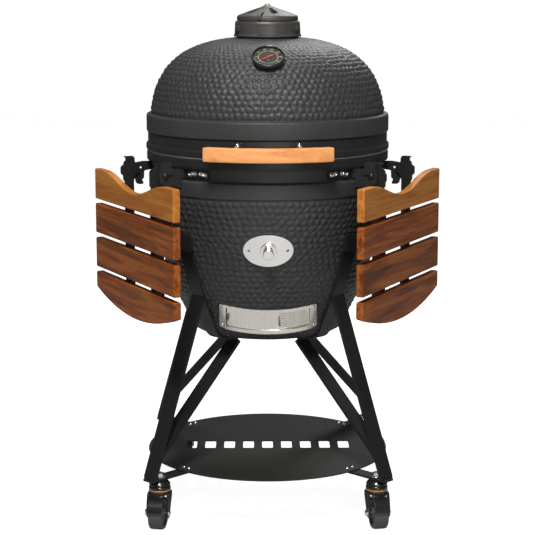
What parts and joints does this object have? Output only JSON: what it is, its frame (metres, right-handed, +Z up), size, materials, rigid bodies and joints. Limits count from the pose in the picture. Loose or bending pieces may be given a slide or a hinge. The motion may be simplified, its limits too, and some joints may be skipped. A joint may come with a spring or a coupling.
{
  "type": "kamado grill",
  "caption": "Ceramic kamado grill: hinged domed lid with vent and thermometer, bowl with sliding draft door, wheeled steel stand and fold-down wooden side shelves",
  "frame": {"origin": "on the ground plane, on the vertical axis of the ceramic body", "axes": "+Z up, -Y is the front with the handle and the draft door, +X is to the right seen from the front"},
  "size_m": [0.8226, 0.7113, 1.174],
  "materials": {
    "glazed_ceramic": "satin grey glaze over raised bumps",
    "raw_ceramic": "unglazed refractory",
    "band_steel": "satin powder coat",
    "felt": "dark felt",
    "handle_wood": "oiled pale wood",
    "black_steel": "matt black powder coat",
    "cast_iron": "sand-cast, grey",
    "stainless_steel": "brushed",
    "zinc_steel": "bright zinc plate",
    "dial_glass": "clear",
    "needle_red": "gloss red",
    "tread_rubber": "grey rubber",
    "slat_wood": "oiled acacia, varied boards"
  },
  "bodies": {
    "base": {"bowl": "glazed_ceramic", "base_band": "band_steel", "base_gasket": "felt", "fire_box": "raw_ceramic", "fire_ring": "raw_ceramic", "charcoal_grate": "cast_iron", "cooking_grate": "stainless_steel", "base_hinge_bracket": "black_steel", "hinge_pin": "zinc_steel", "hinge_spring_left": "zinc_steel", "hinge_spring_right": "zinc_steel", "draft_frame": "stainless_steel", "port_plate": "stainless_steel", "leg_front_left": "black_steel", "leg_front_right": "black_steel", "leg_rear_left": "black_steel", "leg_rear_right": "black_steel", "bottom_shelf": "black_steel", "caster_stem_front_left": "black_steel", "caster_stem_front_right": "black_steel", "caster_stem_rear_left": "black_steel", "caster_stem_rear_right": "black_steel", "shelf_bracket_left": "black_steel", "shelf_bracket_right": "black_steel"},
    "lid": {"lid_dome": "glazed_ceramic", "lid_band": "band_steel", "lid_gasket": "felt", "handle_grip": "handle_wood", "handle_bracket_left": "black_steel", "handle_bracket_right": "black_steel", "thermometer_case": "black_steel", "thermometer_lens": "dial_glass", "vent_base": "cast_iron", "lid_hinge_arm": "black_steel"},
    "vent_cap": {"vent_cap": "cast_iron"},
    "needle": {"thermometer_needle": "needle_red"},
    "draft_door": {"draft_door": "stainless_steel"},
    "spark_screen": {"spark_screen": "stainless_steel"},
    "port_plug": {"port_plug": "stainless_steel"},
    "side_shelf_left": {"slat_1_left": "slat_wood", "slat_2_left": "slat_wood", "slat_3_left": "slat_wood", "slat_4_left": "slat_wood", "shelf_arm_front_left": "black_steel", "shelf_arm_rear_left": "black_steel"},
    "side_shelf_right": {"slat_1_right": "slat_wood", "slat_2_right": "slat_wood", "slat_3_right": "slat_wood", "slat_4_right": "slat_wood", "shelf_arm_front_right": "black_steel", "shelf_arm_rear_right": "black_steel"},
    "fork_front_left": {"caster_fork_front_left": "black_steel"},
    "wheel_front_left": {"caster_wheel_front_left": "tread_rubber"},
    "fork_front_right": {"caster_fork_front_right": "black_steel"},
    "wheel_front_right": {"caster_wheel_front_right": "tread_rubber"},
    "fork_rear_left": {"caster_fork_rear_left": "black_steel"},
    "wheel_rear_left": {"caster_wheel_rear_left": "tread_rubber"},
    "fork_rear_right": {"caster_fork_rear_right": "black_steel"},
    "wheel_rear_right": {"caster_wheel_rear_right": "tread_rubber"}
  },
  "joints": [
    {"name": "lid_hinge", "type": "hinge", "parent": "base", "child": "lid", "pos_m": [0, 0.338, 0.832], "axis": [-1, 0, 0], "range_deg": [0, 75]},
    {"name": "vent_cap_turn", "type": "hinge", "parent": "lid", "child": "vent_cap", "pos_m": [0, 0, 1.15], "axis": [0, 0, 1], "range_deg": [0, 36]},
    {"name": "needle_turn", "type": "hinge", "parent": "lid", "child": "needle", "pos_m": [0, -0.207, 1.056], "axis": [0, 0.5878, -0.809], "range_deg": [0, 248]},
    {"name": "draft_door_slide", "type": "hinge", "parent": "base", "child": "draft_door", "pos_m": [0, -0.00673, 0.53035], "axis": [0, -0.309, 0.9511], "range_deg": [0, 19.5]},
    {"name": "spark_screen_slide", "type": "hinge", "parent": "base", "child": "spark_screen", "pos_m": [0, -0.00673, 0.53035], "axis": [0, -0.309, 0.9511], "range_deg": [-19.5, 0]},
    {"name": "port_plug_pull", "type": "slide", "parent": "base", "child": "port_plug", "axis": [0, -0.9781, -0.2079], "range_m": [0, 0.035]},
    {"name": "side_shelf_left_fold", "type": "hinge", "parent": "base", "child": "side_shelf_left", "pos_m": [-0.26998, -0.13756, 0.802], "axis": [-0.454, 0.891, 0], "range_deg": [0, 90]},
    {"name": "side_shelf_right_fold", "type": "hinge", "parent": "base", "child": "side_shelf_right", "pos_m": [0.26998, -0.13756, 0.802], "axis": [-0.454, -0.891, 0], "range_deg": [0, 90]},
    {"name": "caster_swivel_front_left", "type": "hinge", "parent": "base", "child": "fork_front_left", "pos_m": [-0.24749, -0.24749, 0.095], "axis": [0, 0, 1], "continuous": true},
    {"name": "wheel_spin_front_left", "type": "hinge", "parent": "fork_front_left", "child": "wheel_front_left", "pos_m": [-0.25061, -0.26521, 0.0375], "axis": [-0.9848, 0.1736, 0], "continuous": true},
    {"name": "caster_swivel_front_right", "type": "hinge", "parent": "base", "child": "fork_front_right", "pos_m": [0.24749, -0.24749, 0.095], "axis": [0, 0, 1], "continuous": true},
    {"name": "wheel_spin_front_right", "type": "hinge", "parent": "fork_front_right", "child": "wheel_front_right", "pos_m": [0.25061, -0.26521, 0.0375], "axis": [-0.9848, -0.1736, 0], "continuous": true},
    {"name": "caster_swivel_rear_left", "type": "hinge", "parent": "base", "child": "fork_rear_left", "pos_m": [-0.24749, 0.24749, 0.095], "axis": [0, 0, 1], "continuous": true},
    {"name": "wheel_spin_rear_left", "type": "hinge", "parent": "fork_rear_left", "child": "wheel_rear_left", "pos_m": [-0.22949, 0.24749, 0.0375], "axis": [0, -1, 0], "continuous": true},
    {"name": "caster_swivel_rear_right", "type": "hinge", "parent": "base", "child": "fork_rear_right", "pos_m": [0.24749, 0.24749, 0.095], "axis": [0, 0, 1], "continuous": true},
    {"name": "wheel_spin_rear_right", "type": "hinge", "parent": "fork_rear_right", "child": "wheel_rear_right", "pos_m": [0.26549, 0.24749, 0.0375], "axis": [0, -1, 0], "continuous": true}
  ]
}
